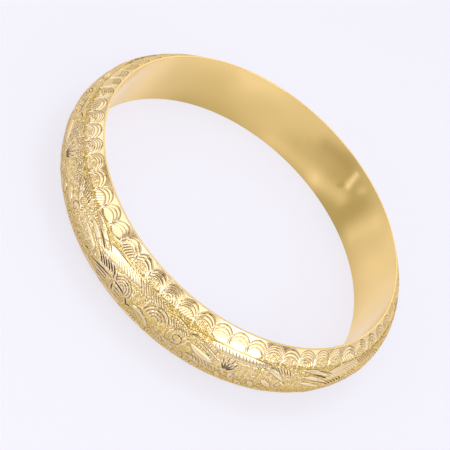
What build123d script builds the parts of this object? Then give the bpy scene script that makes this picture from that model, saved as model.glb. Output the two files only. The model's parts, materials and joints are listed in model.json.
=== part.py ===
from build123d import *
import os
from math import cos, degrees, radians, sin, tan

# A closed slip-on bangle, hollow, of D section. A domed outer shell is soldered along both rims to a
# flat inner liner. Each is a strip bent into a ring, and a line of solder joins its two ends.
# The ring's axis is Z. The bangle lies on its lower rim, with the origin on the axis at that rim.

# Driving dimensions, in millimetres and degrees
inner_diameter = 62.0
band_width = 13.0
dome_height = 3.95
flank_angle = 45.0
shell_thickness = 0.35
liner_thickness = 0.35
rim_solder_gap = 0.05
rim_solder_fillet = 0.25
strip_end_gap = 0.08

# Where the strips' ends meet, as an angle about the ring's axis from +X
shell_joint_at = 90.0
liner_joint_at = 270.0

# Radii that follow
liner_inner_radius = inner_diameter / 2
liner_outer_radius = liner_inner_radius + liner_thickness
foot_radius = liner_outer_radius + rim_solder_gap
crown_outer_radius = foot_radius + dome_height

# The dome is two straight flanks that run up from the rims, and a round crown tangent to both
half_width = band_width / 2
flank_slope = tan(radians(flank_angle))
flank_meeting_height = half_width * flank_slope
crown_curve_radius = (flank_meeting_height - dome_height) / (1 / cos(radians(flank_angle)) - 1)
foot_width = shell_thickness / sin(radians(flank_angle))
wall_drop = shell_thickness / cos(radians(flank_angle))
inner_crown_curve_radius = crown_curve_radius - shell_thickness

# The angle that each end gap takes up, measured where its strip is furthest from the axis
shell_joint_angle = degrees(strip_end_gap / crown_outer_radius)
liner_joint_angle = degrees(strip_end_gap / liner_outer_radius)

os.makedirs("parts", exist_ok=True)


def radial_plane(angle):
    """The half-plane through the ring's axis at an angle: its x is the radius, its y is the height."""
    return Plane(origin=(0, 0, 0), x_dir=(cos(radians(angle)), sin(radians(angle)), 0),
                 z_dir=(sin(radians(angle)), -cos(radians(angle)), 0))


def dome_section(angle):
    """The section of the shell's sheet at an angle: outer dome, one foot, inner dome and the other foot."""
    with BuildSketch(radial_plane(angle)) as section:
        with BuildLine():
            outer = FilletPolyline((foot_radius, 0), (foot_radius + flank_meeting_height, half_width),
                                   (foot_radius, band_width), radius=crown_curve_radius)
            inner = FilletPolyline((foot_radius, foot_width),
                                   (foot_radius + flank_meeting_height - wall_drop, half_width),
                                   (foot_radius, band_width - foot_width), radius=inner_crown_curve_radius)
            Line(outer @ 0, inner @ 0)
            Line(outer @ 1, inner @ 1)
        make_face()
    return section.sketch


def liner_section(angle):
    """The section of the liner's sheet at an angle, as wide as the band."""
    with BuildSketch(radial_plane(angle)) as section:
        with Locations((liner_inner_radius, 0)):
            Rectangle(liner_thickness, band_width, align=(Align.MIN, Align.MIN))
    return section.sketch


def rim_solder_section(angle):
    """The section of the solder under the lower foot at an angle, with its fillet on the hollow side."""
    fillet_rise = rim_solder_fillet * sin(radians(flank_angle))
    fillet_run = rim_solder_fillet * cos(radians(flank_angle))
    with BuildSketch(radial_plane(angle)) as section:
        with BuildLine():
            Polyline((liner_outer_radius, 0), (foot_radius, 0), (foot_radius, foot_width),
                     (foot_radius + fillet_rise, foot_width + fillet_run),
                     (liner_outer_radius, foot_width + fillet_run), close=True)
        make_face()
    return section.sketch


# Outer shell: the domed strip, bent round until its ends all but meet
with BuildPart() as outer_shell:
    revolve(dome_section(shell_joint_at + shell_joint_angle / 2), axis=Axis.Z,
            revolution_arc=360 - shell_joint_angle)
outer_shell.part.label = "outer_shell"
export_step(outer_shell.part, "parts/outer_shell.step")

# Solder between the ends of the shell's strip
with BuildPart() as shell_joint_solder:
    revolve(dome_section(shell_joint_at - shell_joint_angle / 2), axis=Axis.Z,
            revolution_arc=shell_joint_angle)
shell_joint_solder.part.label = "shell_joint_solder"
export_step(shell_joint_solder.part, "parts/shell_joint_solder.step")

# Inner liner: the flat strip that closes the hollow and lies on the wrist
with BuildPart() as inner_liner:
    revolve(liner_section(liner_joint_at + liner_joint_angle / 2), axis=Axis.Z,
            revolution_arc=360 - liner_joint_angle)
inner_liner.part.label = "inner_liner"
export_step(inner_liner.part, "parts/inner_liner.step")

# Solder between the ends of the liner's strip
with BuildPart() as liner_joint_solder:
    revolve(liner_section(liner_joint_at - liner_joint_angle / 2), axis=Axis.Z,
            revolution_arc=liner_joint_angle)
liner_joint_solder.part.label = "liner_joint_solder"
export_step(liner_joint_solder.part, "parts/liner_joint_solder.step")

# Solder seam along the lower rim
with BuildPart() as bottom_rim_solder:
    revolve(rim_solder_section(0), axis=Axis.Z)
bottom_rim_solder.part.label = "bottom_rim_solder"
export_step(bottom_rim_solder.part, "parts/bottom_rim_solder.step")

# Solder seam along the upper rim: the lower one, mirrored in the band's middle plane
with BuildPart() as top_rim_solder:
    mirror(bottom_rim_solder.part, about=Plane.XY.offset(half_width))
top_rim_solder.part.label = "top_rim_solder"
export_step(top_rim_solder.part, "parts/top_rim_solder.step")
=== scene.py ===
import json
import logging
import math
from dataclasses import dataclass, field, replace
from enum import Enum

import bpy
import numpy as np
from mathutils import Matrix, Vector


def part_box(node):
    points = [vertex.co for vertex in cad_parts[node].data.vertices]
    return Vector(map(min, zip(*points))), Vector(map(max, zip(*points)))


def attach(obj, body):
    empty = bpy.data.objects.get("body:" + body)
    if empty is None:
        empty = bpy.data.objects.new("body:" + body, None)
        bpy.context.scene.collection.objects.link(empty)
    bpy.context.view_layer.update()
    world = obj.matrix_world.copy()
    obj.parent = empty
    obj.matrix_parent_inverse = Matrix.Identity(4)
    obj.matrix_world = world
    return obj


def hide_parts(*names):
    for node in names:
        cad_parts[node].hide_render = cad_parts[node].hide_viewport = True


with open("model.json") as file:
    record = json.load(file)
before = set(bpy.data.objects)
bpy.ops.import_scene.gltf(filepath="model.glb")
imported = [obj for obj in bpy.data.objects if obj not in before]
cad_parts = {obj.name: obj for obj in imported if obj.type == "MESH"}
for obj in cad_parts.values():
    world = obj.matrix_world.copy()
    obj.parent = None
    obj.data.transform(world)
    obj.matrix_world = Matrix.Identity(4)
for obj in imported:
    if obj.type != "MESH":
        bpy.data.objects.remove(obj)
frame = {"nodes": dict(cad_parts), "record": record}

# A closed slip-on bangle in yellow gold, of D section. The domed shell has a border of engraved scallops
# along each rim and a field of leaves and scrolls between them. The liner inside is polished.
# Lengths in the classes below are in millimetres, and the meshes are made in metres.
# An angle round the band is counted from -Y towards +X.

LOG = logging.getLogger("bangle")
MM = 0.001
TURN = 2 * math.pi
BODY = "root"
BAKE_MAP = "OFBake"
# The masks that the meshes carry: matt ground, and two that paint shade and highlights into the colour
MASKS = ("matt", "deep", "dirt")

# The share of a map that the shown faces fill, where the hidden strip's rows lie in the rest, the least
# distance from the crown's centre line that is measured, and how squarely a shown face looks outwards
SHOWN_PART, HIDDEN_FROM, LEAST_REACH, FACING = 0.95, 0.2, 0.2, 0.25

# The shading mask's value on level metal, the depth that counts as a full hollow, and how far away it is
# judged: hollows are painted with shade, and some patina, and raised edges with a highlight, and some wear
LEVEL, CONTRAST_DEPTH, CONTRAST_CELLS = 0.4, 0.085, 6

# The matting tool: how far a ring strays from its place, how faint it may be, its line, and how many
# rings the rows and the columns have to spare
RING_STRAY, RING_FAINT, RING_MIDDLE, RING_HALF, RING_SPARE = 0.38, 0.35, 0.55, 0.42, 3

# How evenly a scroll's cuts run into each other
SCROLL_TAPER = 0.15

# Small amounts that keep a share from being taken of nothing
HAIR, SLIVER, NIL = 1e-3, 1e-6, 1e-9


# ---------------------------------------------------------------- the band's sizes


@dataclass(frozen=True)
class BandSizes:
    """The bangle's section, in millimetres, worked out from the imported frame."""

    inner_radius: float
    liner_radius: float
    crown_radius: float
    width: float
    seam_gap: float = 0.05
    sheet: float = 0.35
    joint_gap: float = 0.08
    flank: float = math.radians(45)

    @classmethod
    def from_frame(cls, record: dict) -> "BandSizes":
        """Reads the sizes from the record's bore and the boxes of the CAD nodes.

        Args:
            record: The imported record.

        Returns:
            The band's sizes.
        """
        bore = next(m for m in record["mounts"] if m["name"] == "wrist_bore")
        low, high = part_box("outer_shell")
        return cls(
            inner_radius=bore["dims"]["r_mm"],
            liner_radius=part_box("inner_liner")[1].x / MM,
            crown_radius=high.x / MM,
            width=(high.z - low.z) / MM,
        )

    @property
    def foot_radius(self) -> float:
        """Radius at which the dome rises from the rim."""
        return self.liner_radius + self.seam_gap

    @property
    def half(self) -> float:
        """Half of the band's width."""
        return self.width / 2

    @property
    def crown_curve(self) -> float:
        """Radius of the round crown in the section."""
        rise = self.half * math.tan(self.flank) - (self.crown_radius - self.foot_radius)
        return rise / (1 / math.cos(self.flank) - 1)

    @property
    def flank_length(self) -> float:
        """Length of the straight flank between the rim and the crown."""
        return (self.half - self.crown_curve * math.sin(self.flank)) / math.cos(self.flank)

    @property
    def dome_length(self) -> float:
        """Length along the section from rim to rim."""
        return 2 * self.flank_length + 2 * self.flank * self.crown_curve

    def dome(self, along: np.ndarray) -> tuple[np.ndarray, np.ndarray, np.ndarray]:
        """Follows the section from the upper rim to the lower one.

        Args:
            along: Distances from the upper rim along the section.

        Returns:
            The radii, the heights, and the angles of the outward normal above the ring's plane.
        """
        start, crown = self.flank_length, self.crown_curve
        tilt = np.clip(self.flank - (along - start) / crown, -self.flank, self.flank)
        before = np.minimum(along - start, 0)
        after = np.maximum(along - self.dome_length + start, 0)
        radius = self.crown_radius - crown + crown * np.cos(tilt)
        radius = radius + (before - after) * math.sin(self.flank)
        height = self.half + crown * np.sin(tilt) - (before + after) * math.cos(self.flank)
        return radius, height, tilt

    def lining(self, along: np.ndarray) -> tuple[np.ndarray, np.ndarray]:
        """The inner face of the shell's sheet, under the same distances, kept off the rims' planes.

        Args:
            along: Distances from the upper rim along the section.

        Returns:
            The radii and the heights.
        """
        radius, height, tilt = self.dome(along)
        radius = np.maximum(radius - self.sheet * np.cos(tilt), self.foot_radius)
        foot = self.sheet / math.sin(self.flank)
        height = np.clip(height - self.sheet * np.sin(tilt), foot, self.width - foot)
        return radius, height


# ---------------------------------------------------------------- mesh helpers


def around(angle: np.ndarray, radius: np.ndarray, height: np.ndarray) -> np.ndarray:
    """Points in metres from angles, radii and heights that broadcast together."""
    angle, radius, height = np.broadcast_arrays(angle, radius, height)
    return np.stack([radius * np.sin(angle), -radius * np.cos(angle), height], axis=-1) * MM


@dataclass
class Loft:
    """A closed tube of rows and columns: each column is a closed loop of the section.

    Row 0 is the engraved face's first row, and the last rows run back along the hidden face.
    """

    points: np.ndarray
    shown_rows: int
    capped: bool
    values: dict[str, np.ndarray] = field(default_factory=dict)

    def mesh(self, name: str) -> bpy.types.Mesh:
        """Builds the mesh, with faces outwards and the shown face smooth.

        Args:
            name: The mesh's name.

        Returns:
            The mesh.
        """
        rows, columns = self.points.shape[:2]
        row, column = np.meshgrid(np.arange(rows), np.arange(columns - 1), indexing="ij")
        below = (row + 1) % rows
        quads = np.stack([row * columns + column, below * columns + column,
                          below * columns + column + 1, row * columns + column + 1], axis=-1).reshape(-1, 4)
        caps = []
        if self.capped:
            first = np.arange(rows) * columns
            caps = [first[::-1], first + columns - 1]
        corners = np.concatenate([quads.ravel(), *caps]) if caps else quads.ravel()
        sizes = [4] * len(quads) + [rows] * len(caps)
        starts = np.concatenate([[0], np.cumsum(sizes)[:-1]])
        mesh = bpy.data.meshes.new(name)
        mesh.vertices.add(rows * columns)
        mesh.vertices.foreach_set("co", self.points.reshape(-1).astype(np.float32))
        mesh.loops.add(len(corners))
        mesh.loops.foreach_set("vertex_index", corners.astype(np.int32))
        mesh.polygons.add(len(sizes))
        mesh.polygons.foreach_set("loop_start", starts.astype(np.int32))
        smooth = np.zeros(len(sizes), bool)
        smooth[: len(quads)] = (row < self.shown_rows - 1).ravel()
        mesh.polygons.foreach_set("use_smooth", smooth)
        for key, value in self.values.items():
            full = np.zeros((rows, columns), np.float32)
            full[: self.shown_rows] = value
            mesh.attributes.new(key, "FLOAT", "POINT").data.foreach_set("value", full.ravel())
        mesh.update(calc_edges=True)
        mesh.validate()
        return mesh


def add_object(name: str, mesh: bpy.types.ID) -> bpy.types.Object:
    """Links a new object that stands at the origin, with its place in its mesh.

    Args:
        name: The object's name.
        mesh: Its mesh, or the lamp or camera that it holds.

    Returns:
        The object.
    """
    obj = bpy.data.objects.new(name, mesh)
    bpy.context.scene.collection.objects.link(obj)
    return obj


def pull(items: bpy.types.bpy_prop_collection, key: str, width: int = 1,
         kind: type = np.float32) -> np.ndarray:
    """Reads one property of every item in a mesh's list.

    Args:
        items: The list.
        key: The property's name.
        width: How many numbers each item has.
        kind: The type of the numbers.

    Returns:
        The numbers, with a row for each item where it has more than one.
    """
    values = np.empty(len(items) * width, kind)
    items.foreach_get(key, values)
    return values.reshape(-1, width) if width > 1 else values


def unroll_map(mesh: bpy.types.Mesh, low: float, high: float, lanes: int, sizes: BandSizes) -> None:
    """Gives a band's mesh a map that unrolls its outer face in lanes, with the hidden faces above them.

    Args:
        mesh: The mesh, a stretch of the band between two angles.
        low: The angle at which the stretch starts.
        high: The angle at which it ends.
        lanes: The number of lanes that the outer face is cut into.
        sizes: The band's sizes.
    """

    def bearing(points: np.ndarray) -> np.ndarray:
        """The angle round the band of each point."""
        return np.arctan2(points[:, 0], -points[:, 1])

    def climb(points: np.ndarray) -> np.ndarray:
        """The angle of each point above the ring's plane, seen from the crown's centre line."""
        reach = np.hypot(points[:, 0], points[:, 1]) - (sizes.crown_radius - sizes.crown_curve)
        return np.arctan2(points[:, 2] - sizes.half, np.maximum(reach, LEAST_REACH))

    co = pull(mesh.vertices, "co", 3) / MM
    vertex = pull(mesh.loops, "vertex_index", kind=np.int32)
    total = pull(mesh.polygons, "loop_total", kind=np.int32)
    face = np.repeat(np.arange(len(total)), total)
    middle = np.stack([np.bincount(face, co[vertex, k]) / total for k in range(3)], axis=-1)
    mid_angle, mid_climb = bearing(middle), climb(middle)
    mid_share = ((mid_angle - low) % TURN) / (high - low)
    turn = (bearing(co)[vertex] - mid_angle[face] + math.pi) % TURN - math.pi
    share = mid_share[face] + turn / (high - low)
    lane = np.clip(np.floor(mid_share * lanes), 0, lanes - 1)[face]
    across = climb(co)
    across = ((across - across.min()) / max(np.ptp(across), SLIVER))[vertex]
    outwards = np.stack([np.cos(mid_climb) * np.sin(mid_angle), -np.cos(mid_climb) * np.cos(mid_angle),
                         np.sin(mid_climb)], axis=-1)
    shown = ((pull(mesh.polygons, "normal", 3) * outwards).sum(-1) > FACING)[face]
    u = np.where(shown, share * lanes - lane, share)
    hidden_v = SHOWN_PART + (1 - SHOWN_PART) * (HIDDEN_FROM + (1 - HIDDEN_FROM) * across)
    v = np.where(shown, SHOWN_PART * (lane + across) / lanes, hidden_v)
    layer = mesh.uv_layers.new(name=BAKE_MAP)
    layer.uv.foreach_set("vector", np.clip(np.stack([u, v], axis=-1), 0, 1).astype(np.float32).ravel())


# ---------------------------------------------------------------- engraving


class Tip(Enum):
    """How a cut's width runs along it: value is where along the cut it is widest."""

    EVEN = 0.5
    EARLY = 0.28
    LATE = 0.75


@dataclass(frozen=True)
class Stroke:
    """A mark that follows a bent line from its start to its end."""

    start: tuple[float, float]
    end: tuple[float, float]

    STEPS = 10

    def line(self) -> np.ndarray:
        """Sets out the mark's line, which bulges to its left by bend times its length.

        Returns:
            The line's points.
        """
        a, b = np.array(self.start), np.array(self.end)
        side = np.array([-(b - a)[1], (b - a)[0]]) * self.bend
        middle = (a + b) / 2 + 2 * side
        t = np.linspace(0, 1, self.STEPS + 1)[:, None]
        return a * (1 - t) ** 2 + 2 * middle * t * (1 - t) + b * t**2

    def moved(self, x: float) -> "Stroke":
        """The same mark, moved along the band."""
        return replace(self, start=(self.start[0] + x, self.start[1]), end=(self.end[0] + x, self.end[1]))


@dataclass(frozen=True)
class Cut(Stroke):
    """One pass of the graver: a tapered V along a bent line, steep on one side."""

    bend: float = 0.0
    width: float = 0.40
    depth: float = 0.10
    lean: float = 0.6
    tip: Tip = Tip.EVEN
    # How dark the bottom of the cut is painted: old polish, and painted shade
    dark: float = 0.42
    taper: float = 0.6


@dataclass(frozen=True)
class Leaf(Stroke):
    """A smooth raised leaf or petal with a fine cut outline."""

    width: float
    bend: float = 0.0
    blunt: float = 0.5
    tone: float = 0.95


@dataclass(frozen=True)
class Bead:
    """A round punched dimple."""

    at: tuple[float, float]
    radius: float = 0.16
    depth: float = 0.06

    def moved(self, x: float) -> "Bead":
        """The same dimple, moved along the band."""
        return replace(self, at=(self.at[0] + x, self.at[1]))


Mark = Cut | Leaf | Bead


class Relief:
    """The heights of an unrolled stretch of the band, below the shell's outer face.

    Depths are SKIN on smooth metal, GROUND on matted metal, SEAM where pieces meet and at most FLOOR.
    """

    SKIN = 0.01
    GROUND = 0.06
    SEAM = 0.045
    FLOOR = 0.30
    OUTLINE = 0.15
    OUTLINE_DEPTH = 0.15
    RING_DEPTH = 0.13
    CUSHION = 1.6
    STEEPEST = 0.8
    BRIGHT_FROM = 0.03
    # How the dark in a cut's bottom builds up with depth: old polish, and painted shade
    DIRT_AND_SHADE_GAIN = 3.2
    DIRT_AND_SHADE_START = 0.7

    def __init__(self, x: np.ndarray, y: np.ndarray) -> None:
        """Starts with bare matted ground.

        Args:
            x: Places along the band.
            y: Places across it, from the middle line, rising.
        """
        self.x, self.y = x, y
        self.smooth = np.zeros((len(y), len(x)))
        self.carved = np.zeros_like(self.smooth)
        self.bright = np.zeros_like(self.smooth)
        self.dirt = np.zeros_like(self.smooth)
        self.tone = np.zeros_like(self.smooth)

    def window(self, line: np.ndarray, margin: float) -> tuple[slice, slice] | None:
        """Finds what a line can reach.

        Args:
            line: The line's points.
            margin: How far from the line the tool reaches.

        Returns:
            The rows and the columns, or None if the line misses this stretch.
        """
        i = np.searchsorted(self.x, [line[:, 0].min() - margin, line[:, 0].max() + margin])
        j = np.searchsorted(self.y, [line[:, 1].min() - margin, line[:, 1].max() + margin])
        if i[0] == i[1] or j[0] == j[1]:
            return None
        return slice(j[0], j[1]), slice(i[0], i[1])

    def nearest(self, line: np.ndarray, where: tuple[slice, slice]) -> tuple[np.ndarray, np.ndarray]:
        """Measures each place in a window against a line.

        Args:
            line: The line's points.
            where: The window's rows and columns.

        Returns:
            The signed distance, positive on the line's left, and the share of the way along.
        """
        gx, gy = np.meshgrid(self.x[where[1]], self.y[where[0]])
        step = line[1:] - line[:-1]
        px = gx[..., None] - line[:-1, 0]
        py = gy[..., None] - line[:-1, 1]
        t = np.clip((px * step[:, 0] + py * step[:, 1]) / (step**2).sum(1), 0, 1)
        dx, dy = px - t * step[:, 0], py - t * step[:, 1]
        far = dx**2 + dy**2
        best = far.argmin(-1)[..., None]

        def pick(values: np.ndarray) -> np.ndarray:
            """The values of the nearest step."""
            return np.take_along_axis(values, best, -1)[..., 0]

        side = np.sign(pick(step[:, 0] * py - step[:, 1] * px))
        return side * np.sqrt(pick(far)), (pick(t) + best[..., 0]) / len(step)

    def carve(self, where: tuple[slice, slice], depth: np.ndarray, dark: float = 0.0) -> None:
        """Takes metal away where the cut is deeper than what is there.

        Args:
            where: The window's rows and columns.
            depth: How deep the cut is at each place of the window.
            dark: How dark the bottom of the cut is painted, from 0 to 1: old polish left there, and painted
                shade.
        """
        deeper = depth > self.carved[where]
        share = np.clip(depth / self.BRIGHT_FROM, 0, 1)
        self.carved[where] = np.where(deeper, depth, self.carved[where])
        self.bright[where] = np.maximum(self.bright[where], share)
        if dark:
            filled = np.clip(self.DIRT_AND_SHADE_GAIN * depth / (depth.max() + NIL) - self.DIRT_AND_SHADE_START, 0, 1)
            self.dirt[where] = np.maximum(self.dirt[where], dark * filled)

    def cut(self, mark: Cut) -> None:
        """Makes one tapered V cut.

        Args:
            mark: The cut.
        """
        line = mark.line()
        where = self.window(line, mark.width / 2)
        if where is None:
            return
        off, t = self.nearest(line, where)
        peak = mark.tip.value
        swell = np.where(t < peak, np.sin(0.5 * math.pi * t / peak),
                         np.cos(0.5 * math.pi * (t - peak) / (1 - peak)))
        swell = np.clip(swell, 0, 1) ** mark.taper + SLIVER
        v = np.clip(off / (mark.width / 2 * swell), -1, 1)
        valley = self.STEEPEST * mark.lean
        depth = np.where(v < valley, (v + 1) / (valley + 1), (1 - v) / (1 - valley))
        self.carve(where, mark.depth * swell * np.clip(depth, 0, 1), mark.dark)

    def leaf(self, mark: Leaf) -> None:
        """Clears a smooth cushioned leaf and cuts its outline.

        Args:
            mark: The leaf.
        """
        line = mark.line()
        where = self.window(line, mark.width / 2 + self.OUTLINE)
        if where is None:
            return
        off, t = self.nearest(line, where)
        half = mark.width / 2 * np.clip(np.sin(math.pi * np.clip(t, HAIR, 1 - HAIR)), 0, 1) ** mark.blunt
        inside = np.clip(self.CUSHION * (1 - np.abs(off) / np.maximum(half, HAIR)), 0, 1)
        cushion = np.sqrt(np.clip(inside * (2 - inside), 0, 1))
        self.smooth[where] = np.maximum(self.smooth[where], cushion)
        self.tone[where] = np.maximum(self.tone[where], mark.tone * np.clip(inside, 0, 1))
        edge = np.abs(np.abs(off) - half) / self.OUTLINE
        self.carve(where, self.OUTLINE_DEPTH * np.clip(1 - edge, 0, 1))

    def bead(self, mark: Bead) -> None:
        """Punches one round dimple.

        Args:
            mark: The dimple.
        """
        line = np.array([mark.at, mark.at])
        where = self.window(line, mark.radius)
        if where is None:
            return
        gx, gy = np.meshgrid(self.x[where[1]], self.y[where[0]])
        far = np.hypot(gx - mark.at[0], gy - mark.at[1]) / mark.radius
        self.carve(where, mark.depth * np.clip(1 - far**2, 0, 1))

    def draw(self, marks: list[Mark]) -> None:
        """Cuts every mark: the leaves first, because the cuts run over them.

        Args:
            marks: The marks, in any order.
        """
        for kind, tool in ((Leaf, self.leaf), (Cut, self.cut), (Bead, self.bead)):
            for mark in marks:
                if isinstance(mark, kind):
                    tool(mark)

    def heights(self, rng: np.random.Generator) -> tuple[np.ndarray, np.ndarray]:
        """Adds up the relief.

        Args:
            rng: The seeded source of the ground's dents.

        Returns:
            The heights, none above zero, and the share of matted ground at each place.
        """
        bare = 1 - np.clip(self.smooth * self.CUSHION, 0, 1)
        plain = self.SKIN + (self.GROUND - self.SKIN) * (1 - self.smooth)
        depth = plain + self.RING_DEPTH * dents(self.x, self.y, rng) * bare
        depth = np.maximum(depth, plain + self.carved)
        return -np.minimum(depth, self.FLOOR), np.maximum(bare, self.tone) * (1 - self.bright)


def recesses(heights: np.ndarray, reach: int = CONTRAST_CELLS, wrap: bool = False) -> np.ndarray:
    """Finds what lies lower than its neighbourhood, which is painted with shade and some patina, and what
    stands proud, which is painted with a highlight and some wear.

    Args:
        heights: The heights, in millimetres.
        reach: How many cells away the neighbourhood ends.
        wrap: Whether the columns run on at the other end.

    Returns:
        A share at each place: LEVEL where it is level, up to 1 in recesses and down to 0 on raised edges.
    """
    level = heights
    for axis, mode in ((0, "edge"), (1, "wrap" if wrap else "edge")):
        pad = [(0, 0), (0, 0)]
        pad[axis] = (reach + 1, reach)
        total = np.cumsum(np.pad(level, pad, mode=mode), axis=axis)
        size = heights.shape[axis]
        first = np.take(total, range(size), axis)
        last = np.take(total, range(2 * reach + 1, 2 * reach + 1 + size), axis)
        level = (last - first) / (2 * reach + 1)
    return np.clip(LEVEL + (level - heights) / CONTRAST_DEPTH, 0, 1)


def dents(x: np.ndarray, y: np.ndarray, rng: np.random.Generator, pitch: float = 0.60,
          size: float = 0.42) -> np.ndarray:
    """The matting tool's small overlapping rings, from 0 to 1 deep.

    Args:
        x: Places along the band.
        y: Places across it, rising.
        rng: The seeded source of the rings' places.
        pitch: How far apart the rings lie.
        size: Each ring's radius.

    Returns:
        How deep each place is.
    """
    columns = int((x[-1] - x[0]) / pitch) + RING_SPARE
    rows = int((y[-1] - y[0]) / pitch) + RING_SPARE
    shift = rng.uniform(-RING_STRAY, RING_STRAY, (rows, columns, 2)) * pitch
    strength = rng.uniform(RING_FAINT, 1.0, (rows, columns))
    column = np.round((x - x[0]) / pitch).astype(int)
    row = np.round((y - y[0]) / pitch).astype(int)
    depth = np.zeros((len(y), len(x)))
    for dj in (-1, 0, 1):
        for di in (-1, 0, 1):
            i = np.clip(column + di, 0, columns - 1)
            j = np.clip(row + dj, 0, rows - 1)
            ji = np.ix_(j, i)
            cx = x[0] + i[None, :] * pitch + shift[ji][..., 0]
            cy = y[0] + j[:, None] * pitch + shift[ji][..., 1]
            far = np.hypot(x[None, :] - cx, y[:, None] - cy) / size
            ring = np.clip(1 - ((far - RING_MIDDLE) / RING_HALF) ** 2, 0, 1)
            depth = np.maximum(depth, ring * strength[ji])
    return depth


def hatch(first: tuple, last: tuple, count: int, **kind) -> list[Cut]:
    """Cuts side by side, from one (start, end) pair to another.

    Args:
        first: The start and the end of the first cut.
        last: The start and the end of the last cut.
        count: How many cuts there are.
        **kind: Fields that all the cuts share.

    Returns:
        The cuts.
    """
    a, b = np.array(first, float), np.array(last, float)
    ends = [a * (1 - t) + b * t for t in np.linspace(0, 1, count)]
    return [Cut(tuple(start), tuple(end), **kind) for start, end in ends]


def curl(centre: tuple, radius: float, start: float, sweep: float, shrink: float = 1.0, pieces: int = 4,
         **kind) -> list[Cut]:
    """A scroll, as short bent cuts that follow a circle or a spiral.

    Args:
        centre: The scroll's centre.
        radius: Its radius where it starts.
        start: The angle at which it starts, in degrees.
        sweep: How far it turns, in degrees.
        shrink: The share of the radius that is left at its end.
        pieces: How many cuts it is made of.
        **kind: Fields that all the cuts share.

    Returns:
        The cuts.
    """
    angles = np.radians(start + np.linspace(0, sweep, pieces + 1))
    radii = radius * np.linspace(1, shrink, pieces + 1)
    spots = [(centre[0] + r * math.cos(a), centre[1] + r * math.sin(a)) for a, r in zip(angles, radii)]
    part = abs(math.radians(sweep)) / pieces
    bend = -math.copysign((1 - math.cos(part / 2)) / (2 * math.sin(part / 2)), sweep)
    return [Cut(a, b, bend=bend, taper=SCROLL_TAPER, **kind) for a, b in zip(spots, spots[1:])]


def fan(centre: tuple, angles: tuple, inner: float, outer: float, **kind) -> list[Cut]:
    """Wedge cuts that spread from a point.

    Args:
        centre: The point.
        angles: The direction of each cut, in degrees.
        inner: How far from the point the cuts start.
        outer: How far from it they end.
        **kind: Fields that all the cuts share.

    Returns:
        The cuts.
    """
    ways = [(math.cos(math.radians(a)), math.sin(math.radians(a))) for a in angles]
    return [Cut((centre[0] + inner * c, centre[1] + inner * s),
                (centre[0] + outer * c, centre[1] + outer * s), **kind) for c, s in ways]


# ---------------------------------------------------------------- node helpers


# What a socket can be given: a link from another socket, or a plain value
Given = bpy.types.NodeSocket | float | str | bool | tuple


class Tree:
    """Adds nodes to a tree and links them, by the names that its sockets show.

    Where sockets of one node share a name, they are reached by their place in the list.
    """

    MIX_FROM, MIX_TO, MIXED = 6, 7, 2
    MOST, PICKED = 5, 2

    def __init__(self, tree: bpy.types.NodeTree) -> None:
        """Wraps a tree.

        Args:
            tree: The node tree.
        """
        self.tree = tree

    def add(self, kind: str, links: dict | None = None, **settings) -> bpy.types.Node:
        """Adds one node.

        Args:
            kind: The node's type.
            links: What each input is given: a socket to link, or a plain value.
            **settings: The node's own options.

        Returns:
            The node.
        """
        node = self.tree.nodes.new(kind)
        for key, value in settings.items():
            setattr(node, key, value)
        for key, value in (links or {}).items():
            self.feed(node.inputs[key], value)
        return node

    def feed(self, socket: bpy.types.NodeSocket, value: Given) -> None:
        """Gives a socket its value.

        Args:
            socket: The input socket.
            value: The socket to link to it, or a plain value.
        """
        if isinstance(value, bpy.types.NodeSocket):
            self.tree.links.new(value, socket)
        else:
            socket.default_value = value

    def math(self, operation: str, *values: Given, clamp: bool = False) -> bpy.types.NodeSocket:
        """A Math node's result.

        Args:
            operation: The operation.
            *values: Its inputs, in order.
            clamp: Whether the result is kept between 0 and 1.

        Returns:
            The result's socket.
        """
        links = dict(enumerate(values))
        return self.add("ShaderNodeMath", links, operation=operation, use_clamp=clamp).outputs[0]

    def blend(self, share: Given, first: Given, second: Given) -> bpy.types.NodeSocket:
        """Blends two colours.

        Args:
            share: How much of the second colour there is, from 0 to 1.
            first: The first colour, as a socket or as three numbers.
            second: The second one.

        Returns:
            The blend's socket.
        """
        first, second = (value if isinstance(value, bpy.types.NodeSocket) else (*value, 1)
                         for value in (first, second))
        links = {"Factor": share, self.MIX_FROM: first, self.MIX_TO: second}
        return self.add("ShaderNodeMix", links, data_type="RGBA").outputs[self.MIXED]

    def spread(self, value: Given, low: float, high: float, to_low: float,
               to_high: float) -> bpy.types.NodeSocket:
        """A value moved from one range to another, and kept inside it."""
        given = {"Value": value, "From Min": low, "From Max": high, "To Min": to_low, "To Max": to_high}
        return self.add("ShaderNodeMapRange", given).outputs["Result"]


def new_group(name: str, inputs: dict, outputs: dict) -> tuple[Tree, bpy.types.Node, bpy.types.Node]:
    """Starts a shader node group.

    Args:
        name: The group's name.
        inputs: Each input's name, with its socket type and its usual value.
        outputs: Each output's name, with its socket type.

    Returns:
        The tree, its input node and its output node.
    """
    group = bpy.data.node_groups.new(name, "ShaderNodeTree")
    for key, (kind, value) in inputs.items():
        socket = group.interface.new_socket(key, in_out="INPUT", socket_type=kind)
        if value is not None:
            socket.default_value = value
    for key, kind in outputs.items():
        group.interface.new_socket(key, in_out="OUTPUT", socket_type=kind)
    tree = Tree(group)
    return tree, tree.add("NodeGroupInput"), tree.add("NodeGroupOutput")


# ---------------------------------------------------------------- finishes


class Surface(Enum):
    """How a finish treats its surface."""

    ENGRAVED = "engraved"
    POLISHED = "polished"
    SOLDER = "solder"


Triple = tuple[float, float, float]


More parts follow.
